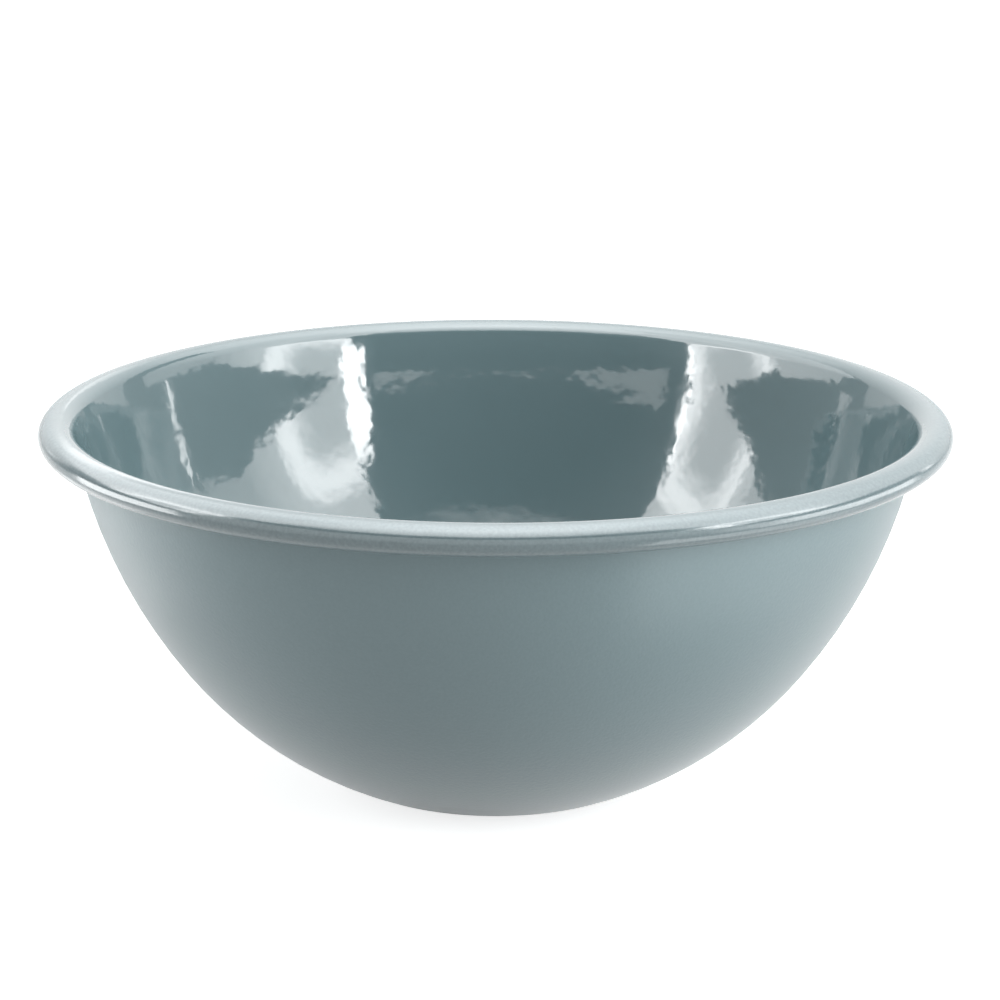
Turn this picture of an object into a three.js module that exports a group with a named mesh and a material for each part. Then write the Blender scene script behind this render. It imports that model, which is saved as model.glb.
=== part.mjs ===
// Enamelled steel cereal bowl.
// One steel sheet, drawn into a round shell with its rim rolled outward into a bead, between fused coats
// of glass: a dark ground coat on each face of the sheet, a gloss cover coat on the food side that runs
// on over the rim and the bead, and a satin cover coat on the outside wall and the base.
// Millimetres, +Z up, origin on the table under the middle of the base.
import * as THREE from "three";

// Driving dimensions of the finished bowl, measured over the enamel
const RIM_DIAMETER = 140;
const HEIGHT = 58.6;
const BASE_DIAMETER = 37; // the flat that the bowl stands on
const BASE_CORNER_RADIUS = 12.5;
const BASE_CORNER_ANGLE = THREE.MathUtils.degToRad(23); // slope of the wall where it leaves the corner
const WALL_TOP_ANGLE = THREE.MathUtils.degToRad(76); // slope of the wall where it starts to flare
const FLARE_RADIUS = 50.5; // slow outward bend of the top of the wall
const FLARE_ANGLE = THREE.MathUtils.degToRad(68.6); // slope where the flare meets the lip
const LIP_RADIUS = 2.7; // tight outward bend to the top of the rim
const BEAD_CROWN_RADIUS = 3.4; // the bead is an oval, flatter on its top and underside
const BEAD_SIDE_RADIUS = 1.77; // and rounder on its outer side
const BEAD_SHOULDER_ANGLE = THREE.MathUtils.degToRad(50); // slope where the two radii meet
const ROLL_ANGLE = THREE.MathUtils.degToRad(205); // from the top of the rim round to the rolled edge

// Thickness of the sheet and of each coat
const STEEL_THICKNESS = 0.5;
const INNER_GROUND_THICKNESS = 0.1;
const OUTER_GROUND_THICKNESS = 0.1;
const GLOSS_THICKNESS = 0.15;
const SATIN_THICKNESS = 0.15;
const FUSED_CLEARANCE = 0.02; // keeps fused layers from sharing a face

// Facets round the axis, and along each stretch of the sheet
const FACETS_ROUND = 40;
const CORNER_STEPS = 2;
const WALL_STEPS = 3; // on each of the wall's two arcs
const FLARE_STEPS = 2;
const LIP_STEPS = 3;
const BEAD_STEPS = 2; // on each of the bead's four arcs
const SATIN_LIP_STEPS = 1; // the satin coat ends out of sight, behind the bead

// Depths of each face from the middle of the sheet
const steelFace = STEEL_THICKNESS / 2;
const innerGroundFloor = steelFace + FUSED_CLEARANCE;
const innerGroundFace = innerGroundFloor + INNER_GROUND_THICKNESS;
const glossFloor = innerGroundFace + FUSED_CLEARANCE;
const glossFace = glossFloor + GLOSS_THICKNESS;
const outerGroundFloor = steelFace + FUSED_CLEARANCE;
const outerGroundFace = outerGroundFloor + OUTER_GROUND_THICKNESS;
const satinFloor = outerGroundFace + FUSED_CLEARANCE;
const satinFace = satinFloor + SATIN_THICKNESS;

// Where the top of the rim lies, inside the bead's widest point
const beadReach = (BEAD_CROWN_RADIUS - BEAD_SIDE_RADIUS) * Math.sin(BEAD_SHOULDER_ANGLE) + BEAD_SIDE_RADIUS;
const rimTopRadius = RIM_DIAMETER / 2 - beadReach;

// Carry the path of the sheet on round an arc until it heads the given way.
function followArc(path, radius, endHeading, steps) {
  const start = path.at(-1);
  const turn = endHeading - start.heading;
  const swing = radius * Math.sign(turn);
  const centreR = start.r - swing * Math.sin(start.heading);
  const centreZ = start.z + swing * Math.cos(start.heading);
  for (let step = 1; step <= steps; step += 1) {
    const heading = start.heading + (turn * step) / steps;
    const r = centreR + swing * Math.sin(heading);
    const z = centreZ - swing * Math.cos(heading);
    path.push({ r, z, heading });
  }
}

// Carry the path on to a given station by two arcs that share a tangent where they meet.
function followTwoArcs(path, end, steps) {
  const start = path.at(-1);
  const startWay = new THREE.Vector2(Math.cos(start.heading), Math.sin(start.heading));
  const endWay = new THREE.Vector2(Math.cos(end.heading), Math.sin(end.heading));
  const chord = new THREE.Vector2(end.r - start.r, end.z - start.z);
  const bothWays = startWay.clone().add(endWay);
  const along = chord.dot(bothWays);
  const bend = 1 - startWay.dot(endWay);
  const tangent = (Math.sqrt(along ** 2 + 2 * bend * chord.lengthSq()) - along) / (2 * bend);
  const middleHeading = chord.addScaledVector(bothWays, -tangent).angle();
  for (const heading of [middleHeading, end.heading]) {
    const radius = tangent / Math.tan(Math.abs(heading - path.at(-1).heading) / 2);
    followArc(path, radius, heading, steps);
  }
}

// Stations along the middle of the sheet, from the axis to the rolled edge.
// A heading of 0 points away from the axis, and a quarter turn points up.
function sheetPath() {
  const path = [
    { r: 0, z: satinFace, heading: 0 },
    { r: BASE_DIAMETER / 2, z: satinFace, heading: 0 },
  ];
  followArc(path, BASE_CORNER_RADIUS - satinFace, BASE_CORNER_ANGLE, CORNER_STEPS);
  const flareRadius = FLARE_RADIUS - glossFace;
  const lipRadius = LIP_RADIUS - glossFace;
  const flareWidth = flareRadius * (Math.sin(WALL_TOP_ANGLE) - Math.sin(FLARE_ANGLE));
  const flareHeight = flareRadius * (Math.cos(FLARE_ANGLE) - Math.cos(WALL_TOP_ANGLE));
  const lipWidth = lipRadius * Math.sin(FLARE_ANGLE);
  const lipHeight = lipRadius * (1 - Math.cos(FLARE_ANGLE));
  const wallTop = {
    r: rimTopRadius - lipWidth - flareWidth,
    z: HEIGHT - glossFace - lipHeight - flareHeight,
    heading: WALL_TOP_ANGLE,
  };
  followTwoArcs(path, wallTop, WALL_STEPS);
  followArc(path, flareRadius, FLARE_ANGLE, FLARE_STEPS);
  followArc(path, lipRadius, 0, LIP_STEPS);
  const crownRadius = BEAD_CROWN_RADIUS - glossFace;
  const sideRadius = BEAD_SIDE_RADIUS - glossFace;
  followArc(path, crownRadius, -BEAD_SHOULDER_ANGLE, BEAD_STEPS);
  followArc(path, sideRadius, -Math.PI / 2, BEAD_STEPS);
  followArc(path, sideRadius, BEAD_SHOULDER_ANGLE - Math.PI, BEAD_STEPS);
  followArc(path, crownRadius, -ROLL_ANGLE, BEAD_STEPS);
  return path;
}

// One layer, between two depths from the middle of the sheet, turned round the axis.
// Depths are positive towards the food and negative towards the table.
function layer(name, path, lowDepth, highDepth, material) {
  const face = (depth) => path.map(({ r, z, heading }) => (
    new THREE.Vector2(r - depth * Math.sin(heading), z + depth * Math.cos(heading))
  ));
  const outline = [...face(lowDepth), ...face(highDepth).reverse()];
  const mesh = new THREE.Mesh(new THREE.LatheGeometry(outline, FACETS_ROUND), material);
  mesh.name = name;
  return mesh;
}

// Materials
const steel = new THREE.MeshStandardMaterial({ color: 0x8f9294, roughness: 0.45, metalness: 1 });
const groundEnamel = new THREE.MeshStandardMaterial({ color: 0x1f262c, roughness: 0.3, metalness: 0 });
const glossEnamel = new THREE.MeshStandardMaterial({ color: 0x687d81, roughness: 0.06, metalness: 0 });
const satinEnamel = new THREE.MeshStandardMaterial({ color: 0x6f8286, roughness: 0.45, metalness: 0 });

// The whole sheet, and the stretch of it that the satin coat covers
const wholeSheet = sheetPath();
const bareSteps = LIP_STEPS - SATIN_LIP_STEPS + 4 * BEAD_STEPS;
const satinSheet = wholeSheet.slice(0, wholeSheet.length - bareSteps);

const bowl = new THREE.Group();
bowl.name = "cereal_bowl";
bowl.add(
  layer("steel_shell", wholeSheet, -steelFace, steelFace, steel),
  layer("inner_ground_coat", wholeSheet, innerGroundFloor, innerGroundFace, groundEnamel),
  layer("outer_ground_coat", wholeSheet, -outerGroundFace, -outerGroundFloor, groundEnamel),
  layer("inner_gloss_coat", wholeSheet, glossFloor, glossFace, glossEnamel),
  layer("outer_satin_coat", satinSheet, -satinFace, -satinFloor, satinEnamel),
);
bowl.rotation.x = Math.PI / 2; // the lathe turns about Y, and the bowl stands on Z

export default bowl;
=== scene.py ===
"""Enamelled steel cereal bowl, finished in glass and lit as in its photograph. Metres, +Z up."""

import math

import bmesh
import bpy
from mathutils import Matrix, Vector


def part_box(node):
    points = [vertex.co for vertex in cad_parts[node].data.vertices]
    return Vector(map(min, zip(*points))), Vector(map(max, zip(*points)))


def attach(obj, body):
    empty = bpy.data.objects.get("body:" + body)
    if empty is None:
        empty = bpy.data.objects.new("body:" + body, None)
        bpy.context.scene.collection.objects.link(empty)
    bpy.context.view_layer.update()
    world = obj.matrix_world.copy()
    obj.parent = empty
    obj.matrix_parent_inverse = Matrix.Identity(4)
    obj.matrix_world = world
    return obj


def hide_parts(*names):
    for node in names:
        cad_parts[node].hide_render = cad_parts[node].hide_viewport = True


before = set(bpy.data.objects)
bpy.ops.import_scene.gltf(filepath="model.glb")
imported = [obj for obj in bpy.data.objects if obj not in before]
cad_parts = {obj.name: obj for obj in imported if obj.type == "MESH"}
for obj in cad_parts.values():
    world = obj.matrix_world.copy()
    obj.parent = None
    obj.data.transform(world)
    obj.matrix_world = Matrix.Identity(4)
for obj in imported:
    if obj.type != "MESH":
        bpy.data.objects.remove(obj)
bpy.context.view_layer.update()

MM = 0.001

# Sizes of the finished bowl over the enamel: the rim and the height are the frame's own
rim_low, rim_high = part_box("inner_gloss_coat")
RIM_DIAMETER = rim_high.x - rim_low.x
HEIGHT = rim_high.z
BASE_DIAMETER = 37 * MM
BASE_CORNER_RADIUS = 12.5 * MM
BASE_CORNER_ANGLE = math.radians(23)
WALL_TOP_ANGLE = math.radians(76)
FLARE_RADIUS = 50.5 * MM
FLARE_ANGLE = math.radians(68.6)
LIP_RADIUS = 2.7 * MM
BEAD_CROWN_RADIUS = 3.4 * MM
BEAD_SIDE_RADIUS = 1.77 * MM
BEAD_SHOULDER_ANGLE = math.radians(50)
ROLL_ANGLE = math.radians(205)

# Slope of the lip where the satin coat ends, out of sight behind the bead
SATIN_END_ANGLE = FLARE_ANGLE * 2 / 3

# How far the bead reaches out from the top of the rim
BEAD_REACH = (BEAD_CROWN_RADIUS - BEAD_SIDE_RADIUS) * math.sin(BEAD_SHOULDER_ANGLE) + BEAD_SIDE_RADIUS
RIM_TOP_RADIUS = RIM_DIAMETER / 2 - BEAD_REACH

# Thickness of the sheet and of each coat, with the clearance between them
STEEL_THICKNESS = 0.5 * MM
GROUND_THICKNESS = 0.1 * MM
COVER_THICKNESS = 0.15 * MM
FUSED_CLEARANCE = 0.02 * MM

# Depths of each face from the middle of the sheet
STEEL_FACE = STEEL_THICKNESS / 2
GROUND_FLOOR = STEEL_FACE + FUSED_CLEARANCE
GROUND_FACE = GROUND_FLOOR + GROUND_THICKNESS
COVER_FLOOR = GROUND_FACE + FUSED_CLEARANCE
COVER_FACE = COVER_FLOOR + COVER_THICKNESS

# Where overspray from the satin coat starts on the rim, where it covers the glass, and where the glass
# runs together again on the side of the bead
OVERSPRAY_START = RIM_TOP_RADIUS - 1.0 * MM
OVERSPRAY_FULL = RIM_TOP_RADIUS + 1.5 * MM
BEAD_SIDE_START = RIM_TOP_RADIUS + 1.6 * MM
BEAD_SIDE_FULL = RIM_TOP_RADIUS + 2.6 * MM

# Finish of the glass and of the steel
GLASS_IOR = 1.56
GLOSS_ROUGHNESS = 0.07
OVERSPRAY_ROUGHNESS = 0.27
BEAD_SIDE_SMOOTHING = 0.09
SATIN_ROUGHNESS = 0.4
GROUND_ROUGHNESS = 0.25
STEEL_ROUGHNESS = 0.45

# Fineness of the turned surfaces
STEPS_ROUND = 288
ARC_STEP = math.radians(3)
SHARP_ANGLE = math.radians(50)

# The photograph's camera
IMAGE_SIDE = 1000
SENSOR_WIDTH = 36.0
CAMERA_DISTANCE = 600 * MM
CAMERA_ELEVATION = math.radians(13.33)
CAMERA_ROLL = math.radians(0.16)
PIXELS_PER_METRE = 6506.1
RIM_CENTRE_PIXEL = (495.5, 410.6)

# How far the lamps, the tent's walls and roof and the cards inside it are from the centre of the rim
LAMP_DISTANCE = 0.8
TENT_RADIUS = 0.26
CARD_RADIUS = 0.11
FRONT_RADIUS = 0.16
LOW_RADIUS = 0.2
FLOOR_CARD_RADIUS = 0.102
ROOF_RADIUS = 0.85

# The soft lamps: degrees to the right of the camera, degrees above the rim, side, and radiance
SOFT_LAMPS = (
    ("right lamp", 62, 17, 0.5, 7.3),
    ("left lamp", -84, 19, 0.5, 3.4),
    ("top lamp", 180, 72, 0.7, 2.8),
)

# The lit stretches of the tent, and what each shows up as. Four corners go round from the low start, each
# with its degrees to the right of the camera, its degrees above the rim, and its glow.
LIT_STRETCHES = (
    # The side walls, with a lamp behind each: the bright panels inside and the shine on the bead's ends
    ("right_wall", TENT_RADIUS, ((52, 16.3, 14.5), (81.5, 18.5, 13.5), (87, 68, 12), (58, 68, 13))),
    ("right_end", TENT_RADIUS, ((81.5, 18.5, 6.5), (100, 20.5, 3.2), (103, 68, 7.5), (87, 68, 8))),
    ("right_back", TENT_RADIUS, ((100, 20.5, 3.2), (130, 9.5, 2), (131, 38, 3.2), (101.2, 38, 5))),
    ("right_back_top", TENT_RADIUS, ((101.2, 38, 5), (131, 38, 3.2), (132, 68, 7), (103, 68, 7.5))),
    ("left_wall", TENT_RADIUS, ((-97.5, 17.5, 12.5), (-67, 10, 14.8), (-72, 68, 13.5), (-100, 68, 12))),
    ("left_end", TENT_RADIUS, ((-108, 22.3, 6), (-97.5, 17.5, 7.5), (-100, 68, 8), (-110, 68, 7.5))),
    ("left_back", TENT_RADIUS, ((-138, 19, 3.4), (-108, 22.3, 5.2), (-110, 68, 7.5), (-156, 68, 6.5))),
    # Seams and gaps in them, where the lamps shine straight through: the white streaks on the inside
    ("right_seam", TENT_RADIUS, ((45.3, 13, 24), (51.8, 13, 24), (52.8, 26, 24), (45.7, 26, 24))),
    ("right_seam_top", TENT_RADIUS, ((45.7, 26, 24), (52.8, 26, 24), (55.3, 34, 14), (51, 34, 14))),
    ("right_gap", TENT_RADIUS, ((117.2, 2.5, 8), (120.2, 2.5, 8), (121.5, 12.3, 8), (118.5, 12.3, 8))),
    ("left_seam", TENT_RADIUS, ((-68.3, 16.5, 24), (-65, 16.5, 24), (-67.5, 30.5, 24), (-71.2, 30.5, 24))),
    ("left_gap", TENT_RADIUS, ((-131, 2.5, 2.5), (-127, 2.5, 2.5), (-127, 8.6, 2.5), (-132.2, 8.6, 2.5))),
    # A near card: the pale patch high on the right of the inside
    ("left_card", CARD_RADIUS, ((-144, 12, 3), (-115.5, 17.2, 5), (-115.5, 28, 5), (-158, 23, 3))),
    # Cards in front: the pale band across the inside and the line along the front of the bead
    ("front_card", FRONT_RADIUS, ((-62, -6, 2.2), (44, -6, 2.4), (44, 21, 2.6), (-62, 21, 2.4))),
    ("front_card_end", FRONT_RADIUS, ((44, -12, 4), (58, -12, 5.4), (58, 6, 5.4), (44, 6, 3.6))),
    # Low cards: the streaks on the sides of the bead
    ("right_low", LOW_RADIUS, ((56, -16, 7), (88, -16, 6.5), (88, 4, 8), (58, 4, 10.5))),
    ("right_low_end", LOW_RADIUS, ((88, -12, 6), (106, -12, 5), (106, 4, 6), (88, 4, 7.5))),
    ("left_low", LOW_RADIUS, ((-105, -16, 6.5), (-70, -16, 11), (-70, 4, 11), (-105, 4, 8.5))),
    # Cards close to the floor: the sheen of the satin outside
    ("right_floor", FLOOR_CARD_RADIUS, ((27, -33, 4), (76, -33, 2.2), (76, -14, 2), (27, -14, 4.8))),
    ("left_floor", FLOOR_CARD_RADIUS, (
        (-106, -33, 2.5), (-64, -33, 1.8), (-64, -14, 1.8), (-106, -14, 2.9),
    )),
    # The back wall and the roof: the shine on top of the rim and low on the inside
    ("back_low", ROOF_RADIUS, ((132, 0, 1.3), (228, 0, 1.3), (228, 36, 2.7), (132, 36, 2.7))),
    ("back_high", ROOF_RADIUS, ((132, 36, 2.7), (228, 36, 2.7), (228, 60, 6.8), (132, 60, 6.8))),
    ("front_slope", ROOF_RADIUS, ((-66, 48.5, 0.5), (54, 48.5, 0.5), (54, 58, 5.2), (-66, 58, 6))),
    ("roof_front", ROOF_RADIUS, ((-66, 58, 6), (54, 58, 5.2), (54, 89.9, 12), (-66, 89.9, 12))),
    ("roof_right", ROOF_RADIUS, ((54, 46, 6), (132, 46, 5), (132, 89.9, 11), (54, 89.9, 12))),
    ("roof_left", ROOF_RADIUS, ((-132, 46, 5), (-66, 46, 6), (-66, 89.9, 12), (-132, 89.9, 11))),
    ("roof_back", ROOF_RADIUS, ((132, 60, 6.8), (228, 60, 6.8), (228, 89.9, 11), (132, 89.9, 11))),
)

# The dim middle of a wall inside its lamp's frame: the middle's two angles, half width and half height
LAMP_FRAMES = {
    "right_wall": (58, 20, 16, 12),
    "left_wall": (-82.5, 20.5, 11.5, 11.5),
}

# The bright border of a lamp's frame: where its two edges fade, on a scale that is 1 at the half width and
# the half height, and the share of the wall's glow that is left in the middle and outside
BORDER_INNER_EDGE = (0.2, 1.3)
BORDER_OUTER_EDGE = (1.5, 2.8)
FRAME_MIDDLE_SHARE = 0.44
FRAME_OUTSIDE_SHARE = 0.52

# Squares that each stretch is made of, each way
TENT_STEPS = 12

# Light of the tent's plain cloth, on the bowl and in its gloss, over the light of the room round it
CLOTH_GLOW = 0.32
CLOTH_GLOW_IN_GLOSS = 0.5
ROOM_GLOW = 0.15

# Where the tent opens towards the camera and where its roof starts, as Y and Z of a unit direction
OPENING_EDGE = (-0.75, -0.35)
ROOF_EDGE = (0.7, 0.95)

# The floor lies a hair under the base. Its own white adds to the lamps' light where the camera or the
# gloss sees it.
FLOOR_RADIUS = 4.0
FLOOR_CLEARANCE = 0.02 * MM
PAPER_WHITE = 0.76

# A mix node's colour sockets, which go by their places because other sockets share their names
COLOUR_A = 6
COLOUR_B = 7
COLOUR_MIX = 2


def photograph_camera():
    """A long lens in front of the bowl, turned so that the rim's centre lands on its pixel."""
    focal_pixels = PIXELS_PER_METRE * CAMERA_DISTANCE
    data = bpy.data.cameras.new("photograph")
    data.sensor_width = SENSOR_WIDTH
    data.lens = focal_pixels / IMAGE_SIDE * SENSOR_WIDTH
    data.clip_start = 10 * MM
    camera = bpy.data.objects.new("photograph", data)
    bpy.context.collection.objects.link(camera)
    sight = Vector((0, math.cos(CAMERA_ELEVATION), -math.sin(CAMERA_ELEVATION)))
    across = RIM_CENTRE_PIXEL[0] - IMAGE_SIDE / 2
    up = IMAGE_SIDE / 2 - RIM_CENTRE_PIXEL[1]
    to_rim = Vector((across, up, -focal_pixels)).normalized()
    aim = Vector((0, 0, -1)).rotation_difference(to_rim).inverted()
    turn = sight.to_track_quat("-Z", "Y") @ aim
    roll = Matrix.Rotation(CAMERA_ROLL, 3, "Z").to_quaternion()
    camera.rotation_mode = "QUATERNION"
    camera.rotation_quaternion = turn @ roll
    camera.location = Vector((0, 0, HEIGHT)) - sight * CAMERA_DISTANCE
    bpy.context.scene.camera = camera


def follow_arc(path, radius, end_heading):
    """Carry the path of the sheet on round an arc until it heads the given way."""
    start_r, start_z, start_heading = path[-1]
    turn = end_heading - start_heading
    swing = math.copysign(radius, turn)
    centre_r = start_r - swing * math.sin(start_heading)
    centre_z = start_z + swing * math.cos(start_heading)
    steps = math.ceil(abs(turn) / ARC_STEP)
    for step in range(1, steps + 1):
        heading = start_heading + turn * step / steps
        r = centre_r + swing * math.sin(heading)
        z = centre_z - swing * math.cos(heading)
        path.append((r, z, heading))


def follow_two_arcs(path, end):
    """Carry the path on to a station by two arcs that share a tangent where they meet."""
    start_r, start_z, start_heading = path[-1]
    end_r, end_z, end_heading = end
    start_way = Vector((math.cos(start_heading), math.sin(start_heading)))
    end_way = Vector((math.cos(end_heading), math.sin(end_heading)))
    chord = Vector((end_r - start_r, end_z - start_z))
    both_ways = start_way + end_way
    along = chord.dot(both_ways)
    bend = 1 - start_way.dot(end_way)
    tangent = (math.sqrt(along ** 2 + 2 * bend * chord.length_squared) - along) / (2 * bend)
    middle_way = chord - both_ways * tangent
    middle_heading = math.atan2(middle_way.y, middle_way.x)
    for heading in (middle_heading, end_heading):
        radius = tangent / math.tan(abs(heading - path[-1][2]) / 2)
        follow_arc(path, radius, heading)


def sheet_path():
    """Stations of (radius, height, heading) along the middle of the sheet, from the axis to its edge."""
    path = [(0, COVER_FACE, 0), (BASE_DIAMETER / 2, COVER_FACE, 0)]
    follow_arc(path, BASE_CORNER_RADIUS - COVER_FACE, BASE_CORNER_ANGLE)
    flare_radius = FLARE_RADIUS - COVER_FACE
    lip_radius = LIP_RADIUS - COVER_FACE
    flare_width = flare_radius * (math.sin(WALL_TOP_ANGLE) - math.sin(FLARE_ANGLE))
    flare_height = flare_radius * (math.cos(FLARE_ANGLE) - math.cos(WALL_TOP_ANGLE))
    lip_width = lip_radius * math.sin(FLARE_ANGLE)
    lip_height = lip_radius * (1 - math.cos(FLARE_ANGLE))
    wall_top_r = RIM_TOP_RADIUS - lip_width - flare_width
    wall_top_z = HEIGHT - COVER_FACE - lip_height - flare_height
    follow_two_arcs(path, (wall_top_r, wall_top_z, WALL_TOP_ANGLE))
    follow_arc(path, flare_radius, FLARE_ANGLE)
    follow_arc(path, lip_radius, SATIN_END_ANGLE)
    satin_end = len(path)
    follow_arc(path, lip_radius, 0)
    crown_radius = BEAD_CROWN_RADIUS - COVER_FACE
    side_radius = BEAD_SIDE_RADIUS - COVER_FACE
    follow_arc(path, crown_radius, -BEAD_SHOULDER_ANGLE)
    follow_arc(path, side_radius, -math.pi / 2)
    follow_arc(path, side_radius, BEAD_SHOULDER_ANGLE - math.pi)
    follow_arc(path, crown_radius, -ROLL_ANGLE)
    return path, path[:satin_end]


def turned_layer(name, path, low_depth, high_depth, material):
    """One layer between two depths from the middle of the sheet, turned round the axis."""
    def face(depth):
        return [(r - depth * math.sin(way), z + depth * math.cos(way)) for r, z, way in path]

    outline = face(low_depth) + face(high_depth)[::-1]
    shape = bmesh.new()
    start = shape.verts.new((0, 0, outline[0][1]))
    end = shape.verts.new((0, 0, outline[-1][1]))
    columns = []
    for step in range(STEPS_ROUND):
        angle = 2 * math.pi * step / STEPS_ROUND
        column = [shape.verts.new((r * math.cos(angle), r * math.sin(angle), z)) for r, z in outline[1:-1]]
        columns.append(column)
    for column, following in zip(columns, columns[1:] + columns[:1]):
        shape.faces.new((start, following[0], column[0]))
        shape.faces.new((end, column[-1], following[-1]))
        for index in range(len(column) - 1):
            shape.faces.new((column[index], following[index], following[index + 1], column[index + 1]))
    mesh = bpy.data.meshes.new(name)
    shape.to_mesh(mesh)
    shape.free()
    mesh.shade_smooth()
    mesh.set_sharp_from_angle(angle=SHARP_ANGLE)
    mesh.materials.append(material)
    piece = bpy.data.objects.new(name, mesh)
    bpy.context.collection.objects.link(piece)
    return piece


def linear(hex_colour):
    """An sRGB hex colour as the linear RGBA that sockets take."""
    shares = [int(hex_colour[place:place + 2], 16) / 255 for place in (1, 3, 5)]
    return [s / 12.92 if s <= 0.04045 else ((s + 0.055) / 1.055) ** 2.4 for s in shares] + [1.0]


def per(millimetres):
    """The scale of a pattern whose marks are this far apart."""
    return 1 / (millimetres * MM)


def add_node(tree, kind, inputs=None, **settings):
    """Add a node with its settings, and set or link each of its inputs."""
    made = tree.nodes.new(kind)
    for name, value in settings.items():
        setattr(made, name, value)
    for name, value in (inputs or {}).items():
        if isinstance(value, bpy.types.NodeSocket):
            tree.links.new(value, made.inputs[name])
        else:
            made.inputs[name].default_value = value
    return made


def new_material(name):
    """An empty material with a shader, and the place on the object that its patterns follow."""
    material = bpy.data.materials.new(name)
    material.use_nodes = True
    tree = material.node_tree
    shader = tree.nodes["Principled BSDF"]
    place = add_node(tree, "ShaderNodeTexCoord").outputs["Object"]
    return material, tree, shader, place


def gloss_enamel():
    """Vitreous enamel dipped and fired to a wet gloss.

    It gives clear reflections, ragged at their edges where the glass rippled as it ran. On the rim and the
    bead, overspray from the satin coat greys it and softens what it mirrors.
    """
    material, tree, shader, place = new_material("gloss vitreous enamel")
    outward = add_node(tree, "ShaderNodeVectorMath", {
        0: place,
        1: (1, 1, 0),
    }, operation="MULTIPLY").outputs[0]
    radius = add_node(tree, "ShaderNodeVectorMath", {0: outward}, operation="LENGTH").outputs["Value"]
    overspray = add_node(tree, "ShaderNodeMapRange", {
        "Value": radius,
        "From Min": OVERSPRAY_START,
        "From Max": OVERSPRAY_FULL,
    }).outputs[0]
    # Clouds of colour, as the coat is thicker or thinner
    cloud = add_node(tree, "ShaderNodeTexNoise", {"Vector": place, "Scale": per(16), "Detail": 2.0})
    glass = add_node(tree, "ShaderNodeMix", {
        "Factor": cloud.outputs["Fac"],
        COLOUR_A: linear("#657a7e"),
        COLOUR_B: linear("#6a7f83"),
    }, data_type="RGBA")
    # The real specks are about a fifth of this size, too fine to show
    specks = add_node(tree, "ShaderNodeTexNoise", {"Vector": place, "Scale": per(0.5), "Detail": 2.0})
    greyed = add_node(tree, "ShaderNodeMix", {
        "Factor": specks.outputs["Fac"],
        COLOUR_A: linear("#59696d"),
        COLOUR_B: linear("#708286"),
    }, data_type="RGBA")
    colour = add_node(tree, "ShaderNodeMix", {
        "Factor": overspray,
        COLOUR_A: glass.outputs[COLOUR_MIX],
        COLOUR_B: greyed.outputs[COLOUR_MIX],
    }, data_type="RGBA")
    # Ripples where the glass ran, with a finer orange peel over them
    ripple = add_node(tree, "ShaderNodeTexNoise", {"Vector": place, "Scale": per(9), "Detail": 1.0})
    flow = add_node(tree, "ShaderNodeBump", {
        "Height": ripple.outputs["Fac"],
        "Distance": 0.06 * MM,
        "Strength": 1.0,
    })
    peel = add_node(tree, "ShaderNodeTexNoise", {"Vector": place, "Scale": per(2.4), "Detail": 1.0})
    skin = add_node(tree, "ShaderNodeBump", {
        "Height": peel.outputs["Fac"],
        "Distance": 0.03 * MM,
        "Strength": 1.0,
        "Normal": flow.outputs["Normal"],
    })
    tree.links.new(colour.outputs[COLOUR_MIX], shader.inputs["Base Color"])
    tree.links.new(skin.outputs["Normal"], shader.inputs["Normal"])
    dulled = add_node(tree, "ShaderNodeMapRange", {
        "Value": overspray,
        "To Min": GLOSS_ROUGHNESS,
        "To Max": OVERSPRAY_ROUGHNESS,
    })
    levelled = add_node(tree, "ShaderNodeMapRange", {
        "Value": radius,
        "From Min": BEAD_SIDE_START,
        "From Max": BEAD_SIDE_FULL,
        "To Min": 0.0,
        "To Max": BEAD_SIDE_SMOOTHING,
    })
    roughness = add_node(tree, "ShaderNodeMath", {
        0: dulled.outputs[0],
        1: levelled.outputs[0],
    }, operation="SUBTRACT")
    tree.links.new(roughness.outputs[0], shader.inputs["Roughness"])
    shader.inputs["IOR"].default_value = GLASS_IOR
    return material


def satin_enamel():
    """Vitreous enamel matted in the firing: a soft sheen over a fine even grain."""
    material, tree, shader, place = new_material("satin vitreous enamel")
    # The real grain is about a fifth of this size, too fine to show
    grain = add_node(tree, "ShaderNodeTexNoise", {"Vector": place, "Scale": per(0.5), "Detail": 2.0})
    colour = add_node(tree, "ShaderNodeMix", {
        "Factor": grain.outputs["Fac"],
        COLOUR_A: linear("#697c80"),
        COLOUR_B: linear("#708387"),
    }, data_type="RGBA")
    skin = add_node(tree, "ShaderNodeBump", {
        "Height": grain.outputs["Fac"],
        "Distance": 0.03 * MM,
        "Strength": 1.0,
    })
    tree.links.new(colour.outputs[COLOUR_MIX], shader.inputs["Base Color"])
    tree.links.new(skin.outputs["Normal"], shader.inputs["Normal"])
    shader.inputs["Roughness"].default_value = SATIN_ROUGHNESS
    shader.inputs["Specular IOR Level"].default_value = 0.35
    shader.inputs["Sheen Weight"].default_value = 0.5
    shader.inputs["Sheen Roughness"].default_value = 0.4
    shader.inputs["IOR"].default_value = GLASS_IOR
    return material


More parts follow.
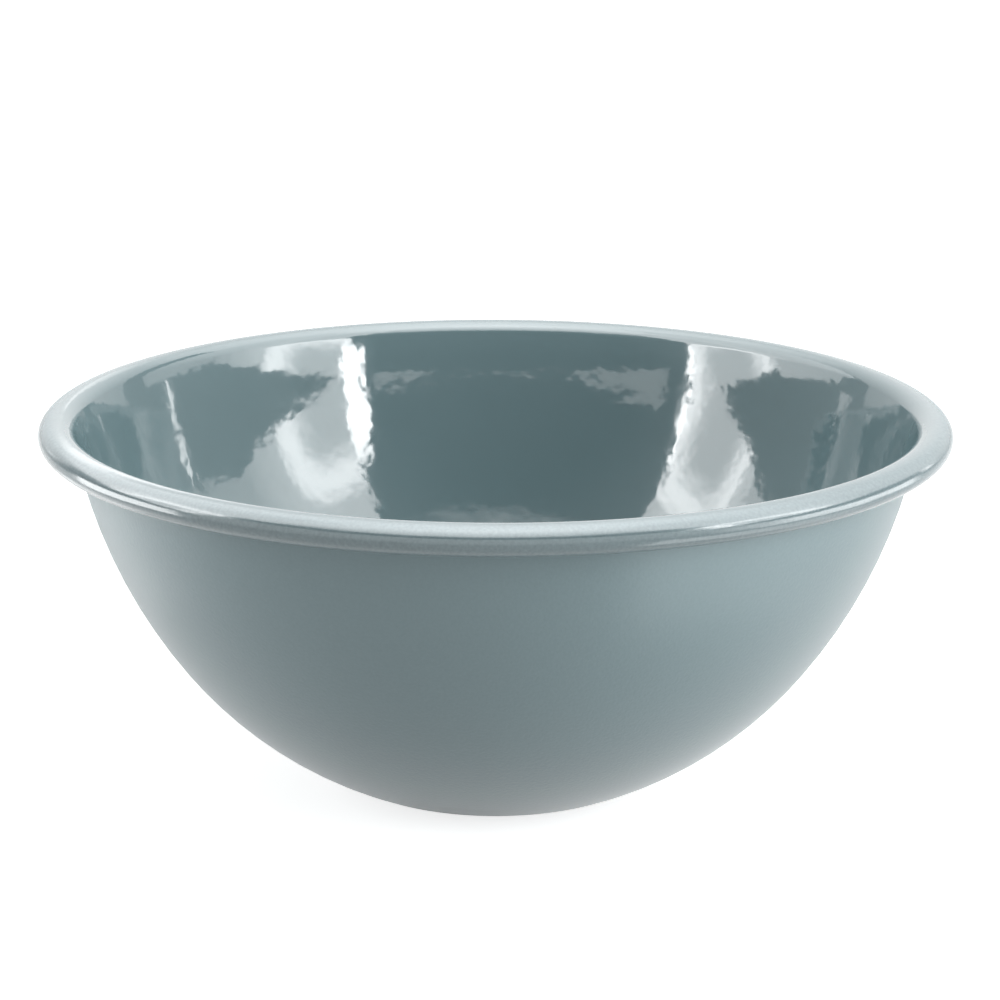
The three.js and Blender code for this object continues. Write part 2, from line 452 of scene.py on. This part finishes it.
def ground_enamel():
    """Cobalt-bearing ground coat, the dark glass that bonds to the steel, with fine bubbles in it."""
    material, tree, shader, place = new_material("ground coat enamel")
    # The real bubbles are about a tenth of this size, too fine to show
    bubbles = add_node(tree, "ShaderNodeTexVoronoi", {"Vector": place, "Scale": per(0.6)})
    colour = add_node(tree, "ShaderNodeMix", {
        "Factor": bubbles.outputs["Distance"],
        COLOUR_A: linear("#1b2128"),
        COLOUR_B: linear("#2a323b"),
    }, data_type="RGBA")
    tree.links.new(colour.outputs[COLOUR_MIX], shader.inputs["Base Color"])
    shader.inputs["Roughness"].default_value = GROUND_ROUGHNESS
    shader.inputs["IOR"].default_value = GLASS_IOR
    return material


def drawn_steel():
    """Low-carbon steel sheet, pickled after drawing: a dull grey with a fine etched grain."""
    material, tree, shader, place = new_material("drawn sheet steel")
    # The real grain is about a tenth of this size, too fine to show
    etch = add_node(tree, "ShaderNodeTexNoise", {"Vector": place, "Scale": per(0.3), "Detail": 3.0})
    colour = add_node(tree, "ShaderNodeMix", {
        "Factor": etch.outputs["Fac"],
        COLOUR_A: linear("#84878a"),
        COLOUR_B: linear("#9b9ea0"),
    }, data_type="RGBA")
    tree.links.new(colour.outputs[COLOUR_MIX], shader.inputs["Base Color"])
    shader.inputs["Metallic"].default_value = 1.0
    shader.inputs["Roughness"].default_value = STEEL_ROUGHNESS
    return material


def dress_bowl():
    """Each layer of the wall as a smooth turned piece that stands for its node."""
    whole, satin = sheet_path()
    ground = ground_enamel()
    steel_depths = (-STEEL_FACE, STEEL_FACE)
    ground_depths = (GROUND_FLOOR, GROUND_FACE)
    cover_depths = (COVER_FLOOR, COVER_FACE)
    under_ground_depths = (-GROUND_FACE, -GROUND_FLOOR)
    under_cover_depths = (-COVER_FACE, -COVER_FLOOR)
    layers = (
        ("drawn_steel_shell", "steel_shell", "sheet_steel", whole, steel_depths, drawn_steel()),
        ("inside_ground", "inner_ground_coat", "ground_enamel", whole, ground_depths, ground),
        ("outside_ground", "outer_ground_coat", "ground_enamel", whole, under_ground_depths, ground),
        ("inside_gloss", "inner_gloss_coat", "gloss_enamel", whole, cover_depths, gloss_enamel()),
        ("outside_satin", "outer_satin_coat", "satin_enamel", satin, under_cover_depths, satin_enamel()),
    )
    for name, node, slot, path, depths, material in layers:
        piece = turned_layer(name, path, *depths, material)
        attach(piece, "root")
        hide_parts(node)


def towards(azimuth, elevation):
    """The direction from the bowl at these degrees to the right of the camera and above the rim."""
    side = math.radians(azimuth)
    rise = math.radians(elevation)
    return Vector((math.sin(side) * math.cos(rise), -math.cos(side) * math.cos(rise), math.sin(rise)))


def soft_lamp(name, azimuth, elevation, side, radiance):
    """A square soft lamp that lights the bowl, and leaves its reflections to the walls of the tent."""
    middle = towards(azimuth, elevation)
    data = bpy.data.lights.new(name, "AREA")
    data.size = side
    data.energy = radiance * math.pi * side ** 2
    lamp = bpy.data.objects.new(name, data)
    bpy.context.collection.objects.link(lamp)
    lamp.location = Vector((0, 0, HEIGHT)) + middle * LAMP_DISTANCE
    lamp.rotation_mode = "QUATERNION"
    lamp.rotation_quaternion = (-middle).to_track_quat("-Z", "Y")
    lamp.visible_camera = False
    lamp.visible_glossy = False


def stretch_mesh(name, radius, corners):
    """A stretch of the tent as a grid that carries its angles, and its glow from corner to corner."""
    low_start, low_end, high_end, high_start = [Vector(corner) for corner in corners]
    shape = bmesh.new()
    angles = shape.loops.layers.uv.new("angles")
    glows = shape.loops.layers.uv.new("glows")
    rows = []
    for up in range(TENT_STEPS + 1):
        row = []
        for across in range(TENT_STEPS + 1):
            low = low_start.lerp(low_end, across / TENT_STEPS)
            high = high_start.lerp(high_end, across / TENT_STEPS)
            azimuth, elevation, glow = low.lerp(high, up / TENT_STEPS)
            place = Vector((0, 0, HEIGHT)) + towards(azimuth, elevation) * radius
            row.append((shape.verts.new(place), (azimuth, elevation), glow))
        rows.append(row)
    for row, above in zip(rows, rows[1:]):
        for index in range(TENT_STEPS):
            around = (row[index], row[index + 1], above[index + 1], above[index])
            face = shape.faces.new([vertex for vertex, angle, glow in around])
            for loop, (vertex, angle, glow) in zip(face.loops, around):
                loop[angles].uv = angle
                loop[glows].uv = (glow, 0)
    mesh = bpy.data.meshes.new(name)
    shape.to_mesh(mesh)
    shape.free()
    return mesh


def lamp_border(tree, lamp_frame):
    """The share of a wall's glow round its lamp: least in the middle, whole at the border, less outside."""
    azimuth, elevation, half_width, half_height = lamp_frame
    offset = add_node(tree, "ShaderNodeVectorMath", {
        0: add_node(tree, "ShaderNodeUVMap", uv_map="angles").outputs[0],
        1: (azimuth, elevation, 0),
    }, operation="SUBTRACT").outputs[0]
    scaled = add_node(tree, "ShaderNodeVectorMath", {
        0: offset,
        1: (1 / half_width, 1 / half_height, 0),
    }, operation="MULTIPLY").outputs[0]
    # Squares before the length make the border a square with round corners
    squared = add_node(tree, "ShaderNodeVectorMath", {
        0: scaled,
        1: scaled,
    }, operation="MULTIPLY").outputs[0]
    reach = add_node(tree, "ShaderNodeVectorMath", {0: squared}, operation="LENGTH").outputs["Value"]
    inside = add_node(tree, "ShaderNodeMapRange", {
        "Value": reach,
        "From Min": BORDER_INNER_EDGE[0],
        "From Max": BORDER_INNER_EDGE[1],
        "To Min": FRAME_MIDDLE_SHARE,
        "To Max": 1.0,
    }, interpolation_type="SMOOTHSTEP").outputs[0]
    outside = add_node(tree, "ShaderNodeMapRange", {
        "Value": reach,
        "From Min": BORDER_OUTER_EDGE[0],
        "From Max": BORDER_OUTER_EDGE[1],
        "To Min": 1.0,
        "To Max": FRAME_OUTSIDE_SHARE,
    }, interpolation_type="SMOOTHSTEP").outputs[0]
    return add_node(tree, "ShaderNodeMath", {0: inside, 1: outside}, operation="MINIMUM").outputs[0]


def lit_cloth(name, lamp_frame):
    """White cloth with light behind it, brightest along the border of the lamp's frame where it has one."""
    material = bpy.data.materials.new(name)
    material.use_nodes = True
    material.cycles.emission_sampling = "NONE"
    tree = material.node_tree
    tree.nodes.clear()
    glow = add_node(tree, "ShaderNodeUVMap", uv_map="glows").outputs[0]
    strength = add_node(tree, "ShaderNodeSeparateXYZ", {0: glow}).outputs["X"]
    if lamp_frame:
        strength = add_node(tree, "ShaderNodeMath", {
            0: strength,
            1: lamp_border(tree, lamp_frame),
        }, operation="MULTIPLY").outputs[0]
    light = add_node(tree, "ShaderNodeEmission", {"Strength": strength})
    add_node(tree, "ShaderNodeOutputMaterial", {"Surface": light.outputs[0]})
    return material


def lit_stretch(name, radius, corners):
    """A stretch of the tent that shows in the enamel's gloss, and leaves the lighting to the lamps."""
    mesh = stretch_mesh(name, radius, corners)
    mesh.materials.append(lit_cloth(name, LAMP_FRAMES.get(name)))
    wall = bpy.data.objects.new(name, mesh)
    bpy.context.collection.objects.link(wall)
    wall.visible_camera = False
    wall.visible_diffuse = False
    wall.visible_shadow = False


def plain_cloth():
    """The rest of the tent: pale cloth, open and dark towards the camera, and white where it is seen."""
    world = bpy.data.worlds.new("white tent")
    bpy.context.scene.world = world
    world.use_nodes = True
    tree = world.node_tree
    way = add_node(tree, "ShaderNodeTexCoord").outputs["Generated"]
    parts = add_node(tree, "ShaderNodeSeparateXYZ", {0: way})
    walls = add_node(tree, "ShaderNodeMapRange", {
        "Value": parts.outputs["Y"],
        "From Min": OPENING_EDGE[0],
        "From Max": OPENING_EDGE[1],
    }, interpolation_type="SMOOTHSTEP")
    roof = add_node(tree, "ShaderNodeMapRange", {
        "Value": parts.outputs["Z"],
        "From Min": ROOF_EDGE[0],
        "From Max": ROOF_EDGE[1],
    }, interpolation_type="SMOOTHSTEP")
    tent = add_node(tree, "ShaderNodeMath", {
        0: walls.outputs[0],
        1: roof.outputs[0],
    }, operation="MAXIMUM")
    ray = add_node(tree, "ShaderNodeLightPath").outputs
    mirrored = add_node(tree, "ShaderNodeMath", {
        0: ray["Is Glossy Ray"],
        1: ray["Is Transmission Ray"],
    }, operation="MAXIMUM")
    cloth_glow = add_node(tree, "ShaderNodeMapRange", {
        "Value": mirrored.outputs[0],
        "To Min": CLOTH_GLOW,
        "To Max": CLOTH_GLOW_IN_GLOSS,
    })
    glow = add_node(tree, "ShaderNodeMath", {
        0: tent.outputs[0],
        1: cloth_glow.outputs[0],
        2: ROOM_GLOW,
    }, operation="MULTIPLY_ADD")
    strength = add_node(tree, "ShaderNodeMath", {
        0: glow.outputs[0],
        1: ray["Is Camera Ray"],
    }, operation="MAXIMUM")
    tree.links.new(strength.outputs[0], tree.nodes["Background"].inputs["Strength"])
    tree.nodes["Background"].inputs["Color"].default_value = (1, 1, 1, 1)


def white_floor():
    """A sheet of white paper that runs out of the picture on all sides."""
    shape = bmesh.new()
    bmesh.ops.create_circle(shape, cap_ends=True, segments=64, radius=FLOOR_RADIUS)
    mesh = bpy.data.meshes.new("white_floor")
    shape.to_mesh(mesh)
    shape.free()
    material = bpy.data.materials.new("white paper")
    material.use_nodes = True
    tree = material.node_tree
    shader = tree.nodes["Principled BSDF"]
    shader.inputs["Base Color"].default_value = linear("#d2d2d2")
    shader.inputs["Roughness"].default_value = 0.9
    shader.inputs["Specular IOR Level"].default_value = 0.0
    ray = add_node(tree, "ShaderNodeLightPath").outputs
    mirrored = add_node(tree, "ShaderNodeMath", {
        0: ray["Is Glossy Ray"],
        1: ray["Is Transmission Ray"],
    }, operation="MAXIMUM")
    seen = add_node(tree, "ShaderNodeMath", {
        0: ray["Is Camera Ray"],
        1: mirrored.outputs[0],
    }, operation="MAXIMUM")
    lift = add_node(tree, "ShaderNodeMath", {0: seen.outputs[0], 1: PAPER_WHITE}, operation="MULTIPLY")
    tree.links.new(lift.outputs[0], shader.inputs["Emission Strength"])
    shader.inputs["Emission Color"].default_value = (1, 1, 1, 1)
    mesh.materials.append(material)
    floor = bpy.data.objects.new("white_floor", mesh)
    bpy.context.collection.objects.link(floor)
    floor.location.z = -FLOOR_CLEARANCE


photograph_camera()
dress_bowl()
for lamp in SOFT_LAMPS:
    soft_lamp(*lamp)
for stretch in LIT_STRETCHES:
    lit_stretch(*stretch)
plain_cloth()
white_floor()
bpy.context.scene.view_settings.view_transform = "Standard"
